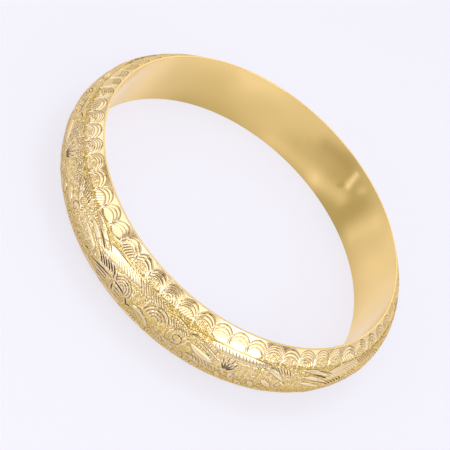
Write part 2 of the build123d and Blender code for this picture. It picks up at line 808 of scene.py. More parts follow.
@dataclass(frozen=True)
class GoldFinish:
    """A gold finish, with colours as linear light. Its name is also its slot in the record."""

    name: str
    colour: Triple
    warm: Triple
    roughness: float
    matt_roughness: float = 0.40
    matt_warmth: float = 0.55
    # Painted light in the colour: hollows are painted warmer and darker, as shade with some patina, raised
    # edges paler, as a highlight with some wear, and the bottoms of cuts dark, as shade with some old polish
    deep_warmth: float = 0.25
    recess_and_shade: Triple = (0.46, 0.325, 0.08)
    recess_and_shade_share: float = 0.75
    wear_and_highlight: Triple = (1.0, 0.87, 0.66)
    wear_and_highlight_share: float = 0.7
    old_polish_and_shade: Triple = (0.11, 0.055, 0.014)
    edge_tint: Triple = (0.92, 0.75, 0.42)
    scratch: float = 0.10
    drift: float = 0.45
    patch_size: float = 90.0
    patch_place: Triple = (0.0, 0.0, 0.0)
    patch_low: float = 0.35
    patch_high: float = 0.68
    patch_grain: float = 0.55


FINISHES = {
    Surface.ENGRAVED: GoldFinish("engraved_gold", (0.99, 0.80, 0.54), (0.84, 0.61, 0.185), 0.11, 0.22),
    # The polished gold paints its reflection: its patch noise is placed so that the liner's far side reads
    # darker and warmer, and its hollow and edge colours paint the dents' dark facets and bright streaks
    Surface.POLISHED: GoldFinish("polished_gold", (1.0, 0.73, 0.30), (0.53, 0.385, 0.115), 0.13,
                                 recess_and_shade=(0.44, 0.275, 0.085), recess_and_shade_share=1.0,
                                 wear_and_highlight=(1.0, 0.725, 0.30), wear_and_highlight_share=1.0, edge_tint=(1.0, 1.0, 1.0),
                                 drift=0.95, patch_size=14.0, patch_place=(0.200, 0.096, -0.108),
                                 patch_low=0.415, patch_high=0.593, patch_grain=0.62),
    Surface.SOLDER: GoldFinish("gold_solder", (0.86, 0.70, 0.40), (0.80, 0.62, 0.32), 0.24),
}


class GoldShop:
    """Makes the gold materials, and the groups that they share."""

    CLOUD_DETAIL = 3.0

    # Fine wear: how rough and how marked the gold is unless a finish says otherwise, the smudges that
    # handling leaves, and the lines that polishing leaves round the band
    USUAL_ROUGHNESS, USUAL_MARKS = 0.15, 0.1
    SMUDGE_SIZE, SMUDGE = 160.0, {"Detail": 4.0, "Roughness": 0.6}
    SMUDGE_AT, SMUDGE_SHIFT = (0.3, 0.75), (-0.03, 0.06)
    LINE_SIZE, LINES = 1400.0, {"Detail": 2.0, "Roughness": 0.6}
    LINES_STRETCH = (1.0, 1.0, 9.0)
    LINES_AT, LINES_ROUGHNESS = (0.45, 0.75), (0.0, 0.5)
    BUMP_STRENGTH, BUMP_DISTANCE = 0.15, 0.02

    def __init__(self) -> None:
        """Builds the shared groups."""
        self.tone = self.tone_and_reflection_group()
        self.wear = self.wear_group()
        self.made: dict[Surface, bpy.types.Material] = {}

    @staticmethod
    def tone_and_reflection_group() -> bpy.types.NodeTree:
        """Soft drift of the gold's colour over the surface: a random tone on the engraved gold, and on the
        polished gold a painted reflection, with patches placed to darken the liner's far side.

        Returns:
            The group, which puts out a colour.
        """
        numbers = ("Warmth", "Drift", "Patch size", "Patch low", "Patch high", "Patch grain")
        tree, given, out = new_group(
            "gold_tone",
            {"Colour": ("NodeSocketColor", None), "Warm": ("NodeSocketColor", None),
             "Patch place": ("NodeSocketVector", None), **{key: ("NodeSocketFloat", 0.0) for key in numbers}},
            {"Colour": "NodeSocketColor"})
        given = given.outputs
        place = tree.add("ShaderNodeTexCoord").outputs["Object"]
        place = tree.add("ShaderNodeVectorMath", {0: place, 1: given["Patch place"]}).outputs[0]
        cloud = tree.add("ShaderNodeTexNoise", {
            "Vector": place, "Scale": given["Patch size"], "Detail": GoldShop.CLOUD_DETAIL,
            "Roughness": given["Patch grain"]}).outputs["Fac"]
        cloud = tree.spread(cloud, given["Patch low"], given["Patch high"], 0.0, 1.0)
        drift = tree.math("MULTIPLY", cloud, given["Drift"])
        share = tree.math("ADD", drift, given["Warmth"], clamp=True)
        tree.feed(out.inputs["Colour"], tree.blend(share, given["Colour"], given["Warm"]))
        return tree.tree

    @staticmethod
    def wear_group() -> bpy.types.NodeTree:
        """Fine polishing lines and handling marks.

        Returns:
            The group, which puts out a roughness and a height.
        """
        tree, given, out = new_group(
            "fine_wear",
            {"Roughness": ("NodeSocketFloat", GoldShop.USUAL_ROUGHNESS),
             "Marks": ("NodeSocketFloat", GoldShop.USUAL_MARKS),
             "Smudge size": ("NodeSocketFloat", GoldShop.SMUDGE_SIZE),
             "Line size": ("NodeSocketFloat", GoldShop.LINE_SIZE)},
            {"Roughness": "NodeSocketFloat", "Height": "NodeSocketFloat"})
        given = given.outputs
        place = tree.add("ShaderNodeTexCoord").outputs["Object"]
        smudge = tree.add("ShaderNodeTexNoise", {
            "Vector": place, "Scale": given["Smudge size"], **GoldShop.SMUDGE}).outputs["Fac"]
        round_band = tree.add("ShaderNodeMapping", {
            "Vector": place, "Scale": GoldShop.LINES_STRETCH}).outputs["Vector"]
        lines = tree.add("ShaderNodeTexNoise", {
            "Vector": round_band, "Scale": given["Line size"], **GoldShop.LINES}).outputs["Fac"]
        soft = tree.spread(smudge, *GoldShop.SMUDGE_AT, *GoldShop.SMUDGE_SHIFT)
        fine = tree.spread(lines, *GoldShop.LINES_AT, *GoldShop.LINES_ROUGHNESS)
        fine = tree.math("MULTIPLY", fine, given["Marks"])
        rough = tree.math("ADD", tree.math("ADD", given["Roughness"], soft), fine, clamp=True)
        tree.feed(out.inputs["Roughness"], rough)
        tree.feed(out.inputs["Height"], tree.math("MULTIPLY", lines, given["Marks"]))
        return tree.tree

    @staticmethod
    def mask(tree: Tree, name: str) -> bpy.types.NodeSocket:
        """One of the masks that the meshes carry."""
        return tree.add("ShaderNodeAttribute", attribute_name=name).outputs["Fac"]

    def material(self, surface: Surface) -> bpy.types.Material:
        """Gives a finish's material, made the first time that it is asked for.

        Args:
            surface: Which finish.

        Returns:
            The material.
        """
        if surface in self.made:
            return self.made[surface]
        finish = FINISHES[surface]
        material = bpy.data.materials.new(finish.name)
        material.use_nodes = True
        material.node_tree.nodes.clear()
        tree = Tree(material.node_tree)
        warmth, rough = 0.0, finish.roughness
        if surface is Surface.ENGRAVED:
            matt, deep, dirt = (self.mask(tree, name) for name in MASKS)
            # Hollows are painted warmer, as shade; the matt ground's warmth is its own
            warmth = tree.math("ADD", tree.math("MULTIPLY", matt, finish.matt_warmth),
                               tree.math("MULTIPLY", deep, finish.deep_warmth))
            dull = tree.math("ADD", matt, dirt)
            rough = tree.spread(dull, 0.0, 1.0, finish.roughness, finish.matt_roughness)
        elif surface is Surface.POLISHED:
            deep = self.mask(tree, "deep")
        tone = tree.add("ShaderNodeGroup", {
            "Colour": (*finish.colour, 1), "Warm": (*finish.warm, 1), "Warmth": warmth, "Drift": finish.drift,
            "Patch size": finish.patch_size, "Patch place": finish.patch_place, "Patch low": finish.patch_low,
            "Patch high": finish.patch_high, "Patch grain": finish.patch_grain}, node_tree=self.tone)
        wear = tree.add("ShaderNodeGroup", {"Roughness": rough, "Marks": finish.scratch}, node_tree=self.wear)
        bump = tree.add("ShaderNodeBump", {"Strength": self.BUMP_STRENGTH, "Height": wear.outputs["Height"],
                                           "Distance": self.BUMP_DISTANCE * MM})
        colour = tone.outputs["Colour"]
        # The shading mask paints light: a paler colour on raised edges, a painted highlight with some wear,
        # and a darker one in hollows, painted shade with some patina; on the liner it paints the dents' dark
        # reflections and bright streaks
        if surface is not Surface.SOLDER:
            highlight_and_wear = tree.spread(deep, 0.0, LEVEL, finish.wear_and_highlight_share, 0.0)
            colour = tree.blend(highlight_and_wear, colour, finish.wear_and_highlight)
            sunk = tree.spread(deep, LEVEL, 1.0, 0.0, finish.recess_and_shade_share)
            colour = tree.blend(sunk, colour, finish.recess_and_shade)
        # Dark painted into the cuts and onto the dome's lower side: painted shade, with some old polish in
        # the cuts
        if surface is Surface.ENGRAVED:
            colour = tree.blend(dirt, colour, finish.old_polish_and_shade)
        shader = tree.add("ShaderNodeBsdfPrincipled", {
            "Base Color": colour, "Metallic": 1.0, "Specular Tint": (*finish.edge_tint, 1),
            "Roughness": wear.outputs["Roughness"], "Normal": bump.outputs["Normal"]})
        tree.add("ShaderNodeOutputMaterial", {"Surface": shader.outputs[0]})
        self.made[surface] = material
        return material

    def dress(self, obj: bpy.types.Object, surface: Surface) -> None:
        """Gives a piece its finish and the record's slot for it.

        Args:
            obj: The piece.
            surface: Its finish.
        """
        slots = obj.material_slots
        if slots:
            for slot in slots:
                slot.link = "OBJECT"
                slot.material = self.material(surface)
        else:
            obj.data.materials.append(self.material(surface))

    def place(self, name: str, mesh: bpy.types.Mesh, node: str, surface: Surface) -> bpy.types.Object:
        """Puts a piece in the frame, on the bangle's one body, and dresses it.

        Args:
            name: The piece's name.
            mesh: Its mesh.
            node: The CAD node that it stands for.
            surface: Its finish.

        Returns:
            The finished piece.
        """
        piece = add_object(name, mesh)
        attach(piece, BODY)
        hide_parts(node)
        self.dress(piece, surface)
        report(piece)
        return piece


def report(obj: bpy.types.Object) -> None:
    """Reports a finished piece."""
    LOG.info("%s: %d faces", obj.name, len(obj.data.polygons))


# ---------------------------------------------------------------- the engraved shell


class Eye(Enum):
    """What is cut inside a scallop's eye."""

    PLAIN = "plain"
    CURLED = "curled"
    HATCHED = "hatched"
    DOTTED = "dotted"


@dataclass(frozen=True)
class Scallop:
    """One pattern of scallop: how far from the rim its arcs run at their tops and at its corners."""

    eye: Eye
    arcs: tuple[tuple[float, float], ...]
    step: float
    line: float
    spot: float = 0.0


FINE_ARCS = ((0.22, 1.45), (0.62, 2.03), (1.04, 2.52), (1.50, 2.94))
BROAD_ARCS = ((0.34, 1.60), (0.95, 2.35), (1.62, 2.95))
SCALLOPS = (
    Scallop(Eye.PLAIN, FINE_ARCS, 0.09, 0.12),
    Scallop(Eye.DOTTED, BROAD_ARCS, 0.12, 0.10, 0.7),
    Scallop(Eye.CURLED, FINE_ARCS, 0.09, 0.12),
    Scallop(Eye.HATCHED, BROAD_ARCS, 0.10, 0.10, 0.5),
    Scallop(Eye.DOTTED, FINE_ARCS, 0.09, 0.12),
    Scallop(Eye.PLAIN, BROAD_ARCS, 0.12, 0.10, 0.4),
)


@dataclass
class ScallopBorder:
    """One rim's border of scallops, made of tiles that each span one scallop.

    Two scallops meet in a V cut that starts join_start from the rim and is join_length long.
    """

    sizes: BandSizes
    shop: GoldShop
    count: int = 60
    depth_along: float = 3.30
    columns: int = 52
    rows: int = 48
    back_rows: int = 5
    lanes: int = 4
    weld: float = 0.001
    first_seed: int = 40
    mid_distance: float = 1.3
    bow: float = 0.97
    lean: float = 0.10
    step_wall: float = 0.07
    step_fall: float = 0.9
    line_half: float = 0.11
    line_flat: float = 1.15
    join_start: float = 1.3
    join_length: float = 1.95
    join_depth: float = 0.17
    join_reach: float = 0.38
    join_taper: float = 0.6
    vee_taper: float = 0.7
    eye_depth: float = 0.12
    eye_end: float = 3.26
    eye_end_bow: float = 0.50
    plain_drop: float = 0.45
    dotted_matt: float = 0.4
    row_ease: float = 0.08
    side_ease: float = 0.14
    matt_ease: float = 0.1
    # Painted shade along the arcs' grooves, with some old polish, none beside the cut between two scallops,
    # and a darker spot at the top of the first arc
    line_dirt_and_shade: float = 0.30
    line_dirt_and_shade_half: float = 0.09
    line_dirt_and_shade_flat: float = 1.3
    clean_beside_join: float = 3.0
    spot_size: tuple[float, float] = (0.55, 0.22)
    spot_drop: float = 0.05
    spot_flat: float = 1.5

    # An eye's pillow rises over the first length and falls over the second one
    PLAIN_SLOPES = (0.85, 0.60)
    CUT_SLOPES = (0.50, 0.32)

    # What is cut into an eye
    CUT_DEPTH = 0.10
    CURL_AT, CURL_PITCH = (-0.3, 2.75), 0.46
    HATCH_FROM, HATCH_WAY, HATCH_PITCH = 2.5, (0.9, 0.45), 0.45
    DOT_PITCH, DOT_SIZE = 0.42, 0.27
    WAVE_DEPTH, WAVE_TURN, WAVE_START = 0.02, 1.3, 0.6

    # The order of the patterns in each rim's two halves
    SEEDS = {"upper": (7071, 6119), "lower": (5, 12)}

    @property
    def pitch(self) -> float:
        """The angle of one tile, with the shell's joint left out."""
        return (TURN - self.sizes.joint_gap / self.sizes.crown_radius) / self.count

    @property
    def along(self) -> np.ndarray:
        """Distances of the tile's rows from the rim."""
        return np.linspace(0, self.depth_along, self.rows)

    def join(self, s: np.ndarray, taper: float) -> np.ndarray:
        """How strong the cut between two scallops is, from 0 to 1, at distances from the rim."""
        part = np.clip((s - self.join_start) / self.join_length, 0, 1)
        return np.clip(np.sin(math.pi * part), 0, 1) ** taper

    def settle(self, depth: np.ndarray, s: np.ndarray) -> np.ndarray:
        """Brings depths to the level at which the border and the field meet, at the tile's far edge."""
        ease = np.clip((self.depth_along - s) / self.row_ease, 0, 1)
        return depth * ease + Relief.SEAM * (1 - ease)

    @property
    def edge_depth(self) -> np.ndarray:
        """How deep each row is where two scallops meet: a cut that tapers to both ends."""
        return self.settle(Relief.SKIN + self.join_depth * self.join(self.along, self.join_taper), self.along)

    def relief(self, kind: int) -> tuple[np.ndarray, np.ndarray, np.ndarray, np.ndarray]:
        """Works out one scallop's heights.

        Args:
            kind: Which of the scallop patterns it is.

        Returns:
            The heights, and the shares of matt ground, of depth, and of old polish with painted shade.
        """
        pattern = SCALLOPS[kind]
        is_plain = pattern.eye is Eye.PLAIN
        rng = np.random.default_rng(self.first_seed + kind)
        share = np.linspace(-1, 1, self.columns)[None, :]
        s = self.along[:, None] + 0 * share
        half = self.pitch * (self.sizes.foot_radius + self.mid_distance) / 2
        x = share * half + 0 * s
        bow = (1 - np.sqrt(1 - (self.bow * share) ** 2)) / (1 - math.sqrt(1 - self.bow**2))
        lean = rng.uniform(-self.lean, self.lean) * share * (1 - share**2)
        arcs = [top + (corner - top) * bow + lean for top, corner in pattern.arcs]

        depth = np.full_like(s, Relief.SKIN)
        for outer, inner in zip(arcs, arcs[1:]):
            p = (s - outer) / (inner - outer)
            step = pattern.step * np.clip((s - outer) / self.step_wall, 0, 1) * (1 - self.step_fall * p)
            depth = np.where((p > 0) & (p <= 1), Relief.SKIN + step, depth)
        for arc in arcs:
            line = pattern.line * np.clip(self.line_flat - np.abs(s - arc) / self.line_half, 0, 1)
            depth = np.maximum(depth, Relief.SKIN + line)

        end = self.eye_end - self.eye_end_bow * share**2
        rise, fall = self.PLAIN_SLOPES if is_plain else self.CUT_SLOPES
        pillow = np.clip(np.minimum((s - arcs[-1]) / rise, (end - s) / fall), 0, 1)
        pillow = np.sqrt(pillow * (2 - pillow))
        drop = self.eye_depth * (self.plain_drop if is_plain else 1.0)
        eye = Relief.SKIN + drop * (1 - pillow) + self.eye_cuts(pattern.eye, x, s, rng) * pillow
        depth = np.where(s > arcs[-1], np.minimum(eye, Relief.SKIN + self.eye_depth), depth)

        side = (1 - np.abs(share)) * half
        vee = np.clip(1 - side / (self.join_reach * self.join(s, self.vee_taper) + HAIR), 0, 1)
        depth = self.settle(np.maximum(depth, Relief.SKIN + self.join_depth * vee), s)
        side_ease = np.clip(side / self.side_ease, 0, 1)
        depth = depth * side_ease + self.edge_depth[:, None] * (1 - side_ease)

        # A darker spot at the top of the first arc
        wide, high = self.spot_size
        spot = np.hypot(x / wide, (s - pattern.arcs[0][0] - self.spot_drop) / high)
        dirt = pattern.spot * np.clip(self.spot_flat - self.spot_flat * spot, 0, 1)
        # Painted shade along each arc's groove, with some old polish
        for arc in arcs:
            line = np.clip(self.line_dirt_and_shade_flat - np.abs(s - arc) / self.line_dirt_and_shade_half, 0, 1)
            dirt = np.maximum(dirt, self.line_dirt_and_shade * line)
        matt = np.clip((s - end) / self.matt_ease, 0, 1) * side_ease
        if pattern.eye is Eye.DOTTED:
            matt = np.maximum(matt, self.dotted_matt * pillow)
        deep = recesses(-depth, wrap=True)
        # The cut between two scallops is kept pale and free of dark: a painted highlight at the cusps
        deep = np.where(vee > 0, np.minimum(deep, LEVEL / 2), deep)
        return -depth, matt, deep, dirt * np.clip(1 - self.clean_beside_join * vee, 0, 1)

    def eye_cuts(self, eye: Eye, x: np.ndarray, s: np.ndarray, rng: np.random.Generator) -> np.ndarray:
        """The cuts inside an eye.

        Args:
            eye: What is cut there.
            x: Places along the rim, from the scallop's middle.
            s: Distances from the rim.
            rng: The seeded source of what is uneven.

        Returns:
            How deep the cuts are.
        """
        if eye is Eye.DOTTED:
            return self.CUT_DEPTH * dents(x[0], s[:, 0], rng, self.DOT_PITCH, self.DOT_SIZE)
        depth = self.CUT_DEPTH
        if eye is Eye.CURLED:
            phase = np.hypot(x - self.CURL_AT[0], s - self.CURL_AT[1]) * TURN / self.CURL_PITCH
        elif eye is Eye.HATCHED:
            across = x * self.HATCH_WAY[0] + (s - self.HATCH_FROM) * self.HATCH_WAY[1]
            phase = across * TURN / self.HATCH_PITCH
        else:
            depth, phase = self.WAVE_DEPTH, x * self.WAVE_TURN + self.WAVE_START
        return depth * (0.5 + 0.5 * np.cos(phase))

    def section(self, heights: np.ndarray, angles: np.ndarray, upper: bool) -> np.ndarray:
        """Places a tile's closed section along the rim.

        Args:
            heights: The outer face's heights, by row and column.
            angles: The columns' angles.
            upper: Whether it is the upper rim's border.

        Returns:
            The points in metres: the outer rows, then the back rows.
        """
        outer_r, outer_z, tilt = self.sizes.dome(self.along)
        r = outer_r[:, None] + heights * np.cos(tilt)[:, None]
        z = outer_z[:, None] + heights * np.sin(tilt)[:, None]
        r = np.maximum(r, self.sizes.foot_radius)
        back_r, back_z = self.sizes.lining(np.linspace(self.depth_along, self.sizes.sheet, self.back_rows))
        r = np.concatenate([r, np.repeat(back_r[:, None], len(angles), 1)])
        z = np.concatenate([z, np.repeat(back_z[:, None], len(angles), 1)])
        if not upper:
            r, z = r[::-1], self.sizes.width - z[::-1]
            r, z = np.roll(r, -self.back_rows, 0), np.roll(z, -self.back_rows, 0)
        return around(angles[None, :], r, z)

    def tile(self, kind: int, upper: bool) -> bpy.types.Object:
        """One scallop's tile, open at both ends, from angle zero on.

        Args:
            kind: Which of the scallop patterns it is.
            upper: Whether it is for the upper rim.

        Returns:
            The tile's object.
        """
        heights, *masks = self.relief(kind)
        points = self.section(heights, np.linspace(0, self.pitch, self.columns), upper)
        values = dict(zip(MASKS, masks if upper else [mask[::-1] for mask in masks]))
        return add_object(f"scallop_{kind}", Loft(points, self.rows, False, values).mesh(f"scallop_{kind}"))

    def cap(self, upper: bool) -> bpy.types.Object:
        """The flat end face of a stretch of border, at angle zero.

        Args:
            upper: Whether it is for the upper rim.

        Returns:
            The cap's object.
        """
        ring = self.section(-self.edge_depth[:, None], np.zeros(1), upper)[:, 0]
        mesh = bpy.data.meshes.new("border_end")
        mesh.from_pydata(ring.tolist(), [], [list(range(len(ring)))[::-1]])
        return add_object("border_end", mesh)

    @staticmethod
    def row_tree() -> bpy.types.NodeTree:
        """The tree that sets the tiles along the rim, closes the row's ends and welds them.

        Returns:
            The tree.
        """
        group = bpy.data.node_groups.new("scallop_row", "GeometryNodeTree")
        inputs = {"Geometry": "Geometry", "Tiles": "Collection", "End": "Object", "Count": "Int",
                  "Start": "Float", "Pitch": "Float", "Seed": "Int", "Patterns": "Int", "Weld": "Float",
                  "Finish": "Material"}
        for key, kind in inputs.items():
            group.interface.new_socket(key, in_out="INPUT", socket_type=f"NodeSocket{kind}")
        group.interface.new_socket("Geometry", in_out="OUTPUT", socket_type="NodeSocketGeometry")
        tree = Tree(group)
        given = tree.add("NodeGroupInput").outputs
        spots = tree.add("GeometryNodeMeshLine", {"Count": given["Count"], "Offset": (0, 0, 0)})
        step = tree.math("MULTIPLY", tree.add("GeometryNodeInputIndex").outputs[0], given["Pitch"])
        angle = tree.math("ADD", step, given["Start"])
        turn = tree.add("FunctionNodeEulerToRotation",
                        {"Euler": tree.add("ShaderNodeCombineXYZ", {"Z": angle}).outputs[0]})
        pick = tree.add("FunctionNodeRandomValue", data_type="INT")
        tree.feed(pick.inputs[tree.MOST], tree.math("SUBTRACT", given["Patterns"], 1.0))
        tree.feed(pick.inputs["Seed"], given["Seed"])
        tiles = tree.add("GeometryNodeCollectionInfo",
                         {"Collection": given["Tiles"], "Separate Children": True})
        row = tree.add("GeometryNodeInstanceOnPoints",
                       {"Points": spots.outputs["Mesh"], "Instance": tiles.outputs[0], "Pick Instance": True,
                        "Instance Index": pick.outputs[tree.PICKED], "Rotation": turn.outputs[0]})
        end = tree.add("GeometryNodeObjectInfo", {"Object": given["End"]}).outputs["Geometry"]
        swing = tree.add("ShaderNodeCombineXYZ", {"Z": given["Start"]}).outputs[0]
        near = tree.add("GeometryNodeTransform", {"Geometry": end, "Rotation": swing}).outputs[0]
        last = tree.math("ADD", given["Start"], tree.math("MULTIPLY", given["Count"], given["Pitch"]))
        swing = tree.add("ShaderNodeCombineXYZ", {"Z": last}).outputs[0]
        far = tree.add("GeometryNodeTransform", {"Geometry": end, "Rotation": swing}).outputs[0]
        far = tree.add("GeometryNodeFlipFaces", {"Mesh": far}).outputs[0]
        whole = tree.add("GeometryNodeJoinGeometry")
        for part in (far, near, row.outputs[0]):
            tree.feed(whole.inputs[0], part)
        real = tree.add("GeometryNodeRealizeInstances", {"Geometry": whole.outputs[0]}).outputs[0]
        weld = tree.add("GeometryNodeMergeByDistance",
                        {"Geometry": real, "Distance": given["Weld"]}).outputs[0]
        done = tree.add("GeometryNodeSetMaterial", {"Geometry": weld, "Material": given["Finish"]}).outputs[0]
        tree.add("NodeGroupOutput", {"Geometry": done})
        return group

    def build(self, name: str, upper: bool, start: float, seed: int) -> bpy.types.Object:
        """Makes half a turn of one rim's border.

        Args:
            name: The piece's name.
            upper: Whether it is the upper rim's border.
            start: The angle where it starts.
            seed: The seed of the order of the patterns.

        Returns:
            The finished border.
        """
        tiles = bpy.data.collections.new("scallops")
        bpy.context.scene.collection.children.link(tiles)
        parts = [self.tile(kind, upper) for kind in range(len(SCALLOPS))]
        for part in parts:
            bpy.context.scene.collection.objects.unlink(part)
            tiles.objects.link(part)
        cap = self.cap(upper)
        group = self.row_tree()
        holder = add_object("border_holder", bpy.data.meshes.new("border_holder"))
        row = holder.modifiers.new("row", "NODES")
        row.node_group = group
        given = {"Tiles": tiles, "End": cap, "Count": self.count // 2, "Start": start, "Pitch": self.pitch,
                 "Seed": seed, "Patterns": len(SCALLOPS), "Weld": self.weld * MM,
                 "Finish": self.shop.material(Surface.ENGRAVED)}
        for item in group.interface.items_tree:
            if item.in_out == "INPUT" and item.name in given:
                row[item.identifier] = given[item.name]
        depsgraph = bpy.context.evaluated_depsgraph_get()
        mesh = bpy.data.meshes.new_from_object(holder.evaluated_get(depsgraph))
        mesh.name = name
        for part in (*parts, cap, holder):
            bpy.data.objects.remove(part)
        bpy.data.collections.remove(tiles)
        unroll_map(mesh, start, start + math.pi, self.lanes, self.sizes)
        return self.shop.place(name, mesh, "outer_shell", Surface.ENGRAVED)

    def build_all(self) -> None:
        """Makes both rims' borders, in two halves each."""
        gap = self.sizes.joint_gap / 2 / self.sizes.crown_radius
        for rim, seeds in self.SEEDS.items():
            for half, (start, seed) in enumerate(zip((gap - math.pi, 0.0), seeds), 1):
                self.build(f"shell_border_{rim}_{half}", rim == "upper", start, seed)


# How the graver is held for the marks that come again and again
SCROLL = {"width": 0.46, "depth": 0.21, "lean": 0.2}
RETURN_SCROLL = {**SCROLL, "lean": -0.2}
HATCHING = {"width": 0.44, "depth": 0.20, "lean": 0.2}
FILLING = {"depth": 0.13, "lean": 0.5}


@dataclass
class EngravedField:
    """The field of leaves and scrolls between the two borders.

    The engraving repeats along the band. The places of its marks are distances along one repeat, and
    across the band from the crown, rising.
    """

    sizes: BandSizes
    shop: GoldShop
    edge: float = 3.30
    columns: int = 3120
    rows: int = 128
    back_rows: int = 6
    sectors: int = 6
    lanes: int = 2
    first_motif: float = -110 / 360
    motif_length: float = 49.36
    motifs: int = 4
    ring_seed: int = 11
    edge_ease: float = 0.10
    # The dome is painted darker towards its lower side, as shade, and paler and less matt on its upper side,
    # a painted highlight with some wear
    lower_shade: float = 0.20
    lower_shade_at: tuple[float, ...] = (-0.8, 0.6, 2.5, 3.7)
    wear_and_sheen: float = 0.25
    wear_and_sheen_at: tuple[float, ...] = (0.4, 1.4, 3.2, 4.4)

    def petals(self) -> list[Mark]:
        """Long plain petals at the tip of the spray, with deep lines along them.

        Returns:
            The marks.
        """
        return [Leaf((0.3, 4.2), (7.2, 2.7), 0.95, 0.05),
                Leaf((0.6, 2.9), (7.0, 1.3), 0.90, 0.05),
                Leaf((0.8, 1.5), (6.0, 0.2), 0.80, 0.04),
                Cut((2.2, 3.4), (6.9, 2.2), 0.04, 0.42, 0.22, 0.2, Tip.LATE, 0.85),
                Cut((2.9, 4.1), (8.0, 3.0), 0.04, 0.34, 0.20, 0.2, Tip.LATE, 0.35),
                Cut((2.4, 2.1), (7.2, 0.8), 0.04, 0.36, 0.20, 0.2, Tip.LATE, 0.45)]

    def spray(self) -> list[Mark]:
        """A feathered leaf that points to the left: barbs in two rows over a midrib, hatching under it.

        Returns:
            The marks.
        """
        barbs = {"lean": 0.0, "tip": Tip.LATE}
        marks: list[Mark] = [Leaf((4.8, 2.2), (16.0, 3.9), 2.3, 0.04, 0.3, 0.0)]
        marks += hatch(((5.3, 3.0), (7.8, 1.5)), ((9.2, 3.8), (11.8, 2.4)), 8, width=0.15, depth=0.07,
                       bend=0.05, dark=0.05, **barbs)
        marks += hatch(((9.8, 3.9), (12.4, 2.5)), ((13.1, 4.5), (15.7, 2.8)), 6, width=0.17, depth=0.10,
                       bend=0.05, dark=0.2, **barbs)
        marks += hatch(((5.9, 1.4), (8.3, 0.1)), ((9.4, 2.2), (11.2, 0.9)), 6, width=0.52, depth=0.23,
                       bend=0.06, dark=0.85, **barbs)
        marks += hatch(((10.2, 1.9), (11.5, 0.2)), ((11.0, 2.0), (12.1, 0.4)), 2, width=0.40, depth=0.22,
                       dark=0.7, **barbs)
        midrib = (((3.7, -1.7), (4.9, -1.3), 0.35), ((5.2, -1.75), (11.7, 0.1), 0.05),
                  ((11.2, 0.1), (15.0, -0.4), 0.07), ((14.7, -0.3), (15.7, -1.9), 0.12),
                  ((15.6, -1.9), (16.8, -1.2), 0.25))
        marks += [Cut(a, b, bend, 0.56, 0.24, 0.0, dark=1.0) for a, b, bend in midrib]
        marks += hatch(((6.9, -1.5), (10.6, -0.75)), ((7.6, -2.9), (11.2, -2.2)), 3, width=0.50, depth=0.22,
                       lean=0.0, bend=0.04, dark=0.9)
        marks += hatch(((12.2, -0.7), (14.0, -0.75)), ((12.6, -2.2), (14.5, -2.2)), 3, width=0.48, depth=0.22,
                       lean=0.0, dark=0.8)
        return marks + [Cut((11.8, -0.3), (12.4, -2.3), -0.08, 0.52, 0.24, 0.0, dark=0.95)]

    def lobes(self) -> list[Mark]:
        """Round lobes of concentric arcs, with hatched ground and a plain leaf beside them.

        Returns:
            The marks.
        """
        marks: list[Mark] = [Leaf((16.6, -0.3), (20.6, -1.9), 1.6, 0.10)]
        marks += hatch(((17.0, -0.5), (20.4, -1.8)), ((16.7, -1.0), (19.3, -2.0)), 3, width=0.20, depth=0.08,
                       bend=0.10, lean=0.0)
        marks += hatch(((14.2, 4.5), (17.0, 2.2)), ((19.6, 4.5), (21.4, 3.0)), 10, width=0.46, depth=0.20,
                       lean=0.3, tip=Tip.EARLY)
        for radius in (0.45, 0.95, 1.45, 1.95):
            marks += curl((13.4, 0.4), radius, 170, -190, 1.0, 5, width=0.40, depth=0.20, lean=0.2)
        for radius in (0.7, 1.3, 1.9, 2.5):
            marks += curl((20.9, 0.7), radius, 175, -150, 1.0, 5, **SCROLL)
        for radius in (0.6, 1.2, 1.8):
            marks += curl((22.6, -2.9), radius, 20, 190, 1.0, 4, **RETURN_SCROLL)
        return marks

    def scrolls(self) -> list[Mark]:
        """A ring scroll with its stem, and curls below it.

        Returns:
            The marks.
        """
        marks: list[Mark] = [Cut((22.5, 4.2), (26.4, 3.6), 0.03, 0.30, 0.22, 0.0, Tip.LATE, 0.7),
                             Cut((26.9, 2.9), (28.7, 3.5), 0.10, 0.50, 0.22, 0.0, Tip.EARLY, 0.6),
                             Leaf((23.6, -1.0), (26.4, -2.2), 0.9, 0.1),
                             Leaf((28.4, -0.9), (31.6, -2.0), 0.9, 0.12)]
        marks += hatch(((22.3, 3.5), (23.6, 2.2)), ((25.8, 3.1), (27.0, 2.0)), 7,
                       **{**HATCHING, "width": 0.42})
        marks += curl((25.6, 0.6), 1.35, 250, 400, 0.30, 9, **SCROLL)
        marks += curl((25.6, 0.6), 2.0, 80, 200, 1.0, 5, width=0.36, depth=0.20, lean=0.2, dark=0.3)
        marks += curl((27.4, -2.9), 1.5, 80, -420, 0.3, 9, **RETURN_SCROLL)
        marks += curl((31.4, -2.9), 1.4, 100, 400, 0.3, 9, **SCROLL)
        marks += hatch(((28.6, 0.2), (30.4, -1.6)), ((33.6, -0.1), (34.6, -1.5)), 8, width=0.34, depth=0.18,
                       lean=0.0, bend=0.10)
        return marks + fan((29.2, -4.6), (55, 78, 102, 125), 0.4, 2.4, width=0.5, depth=0.22, lean=0.0,
                           dark=0.4)

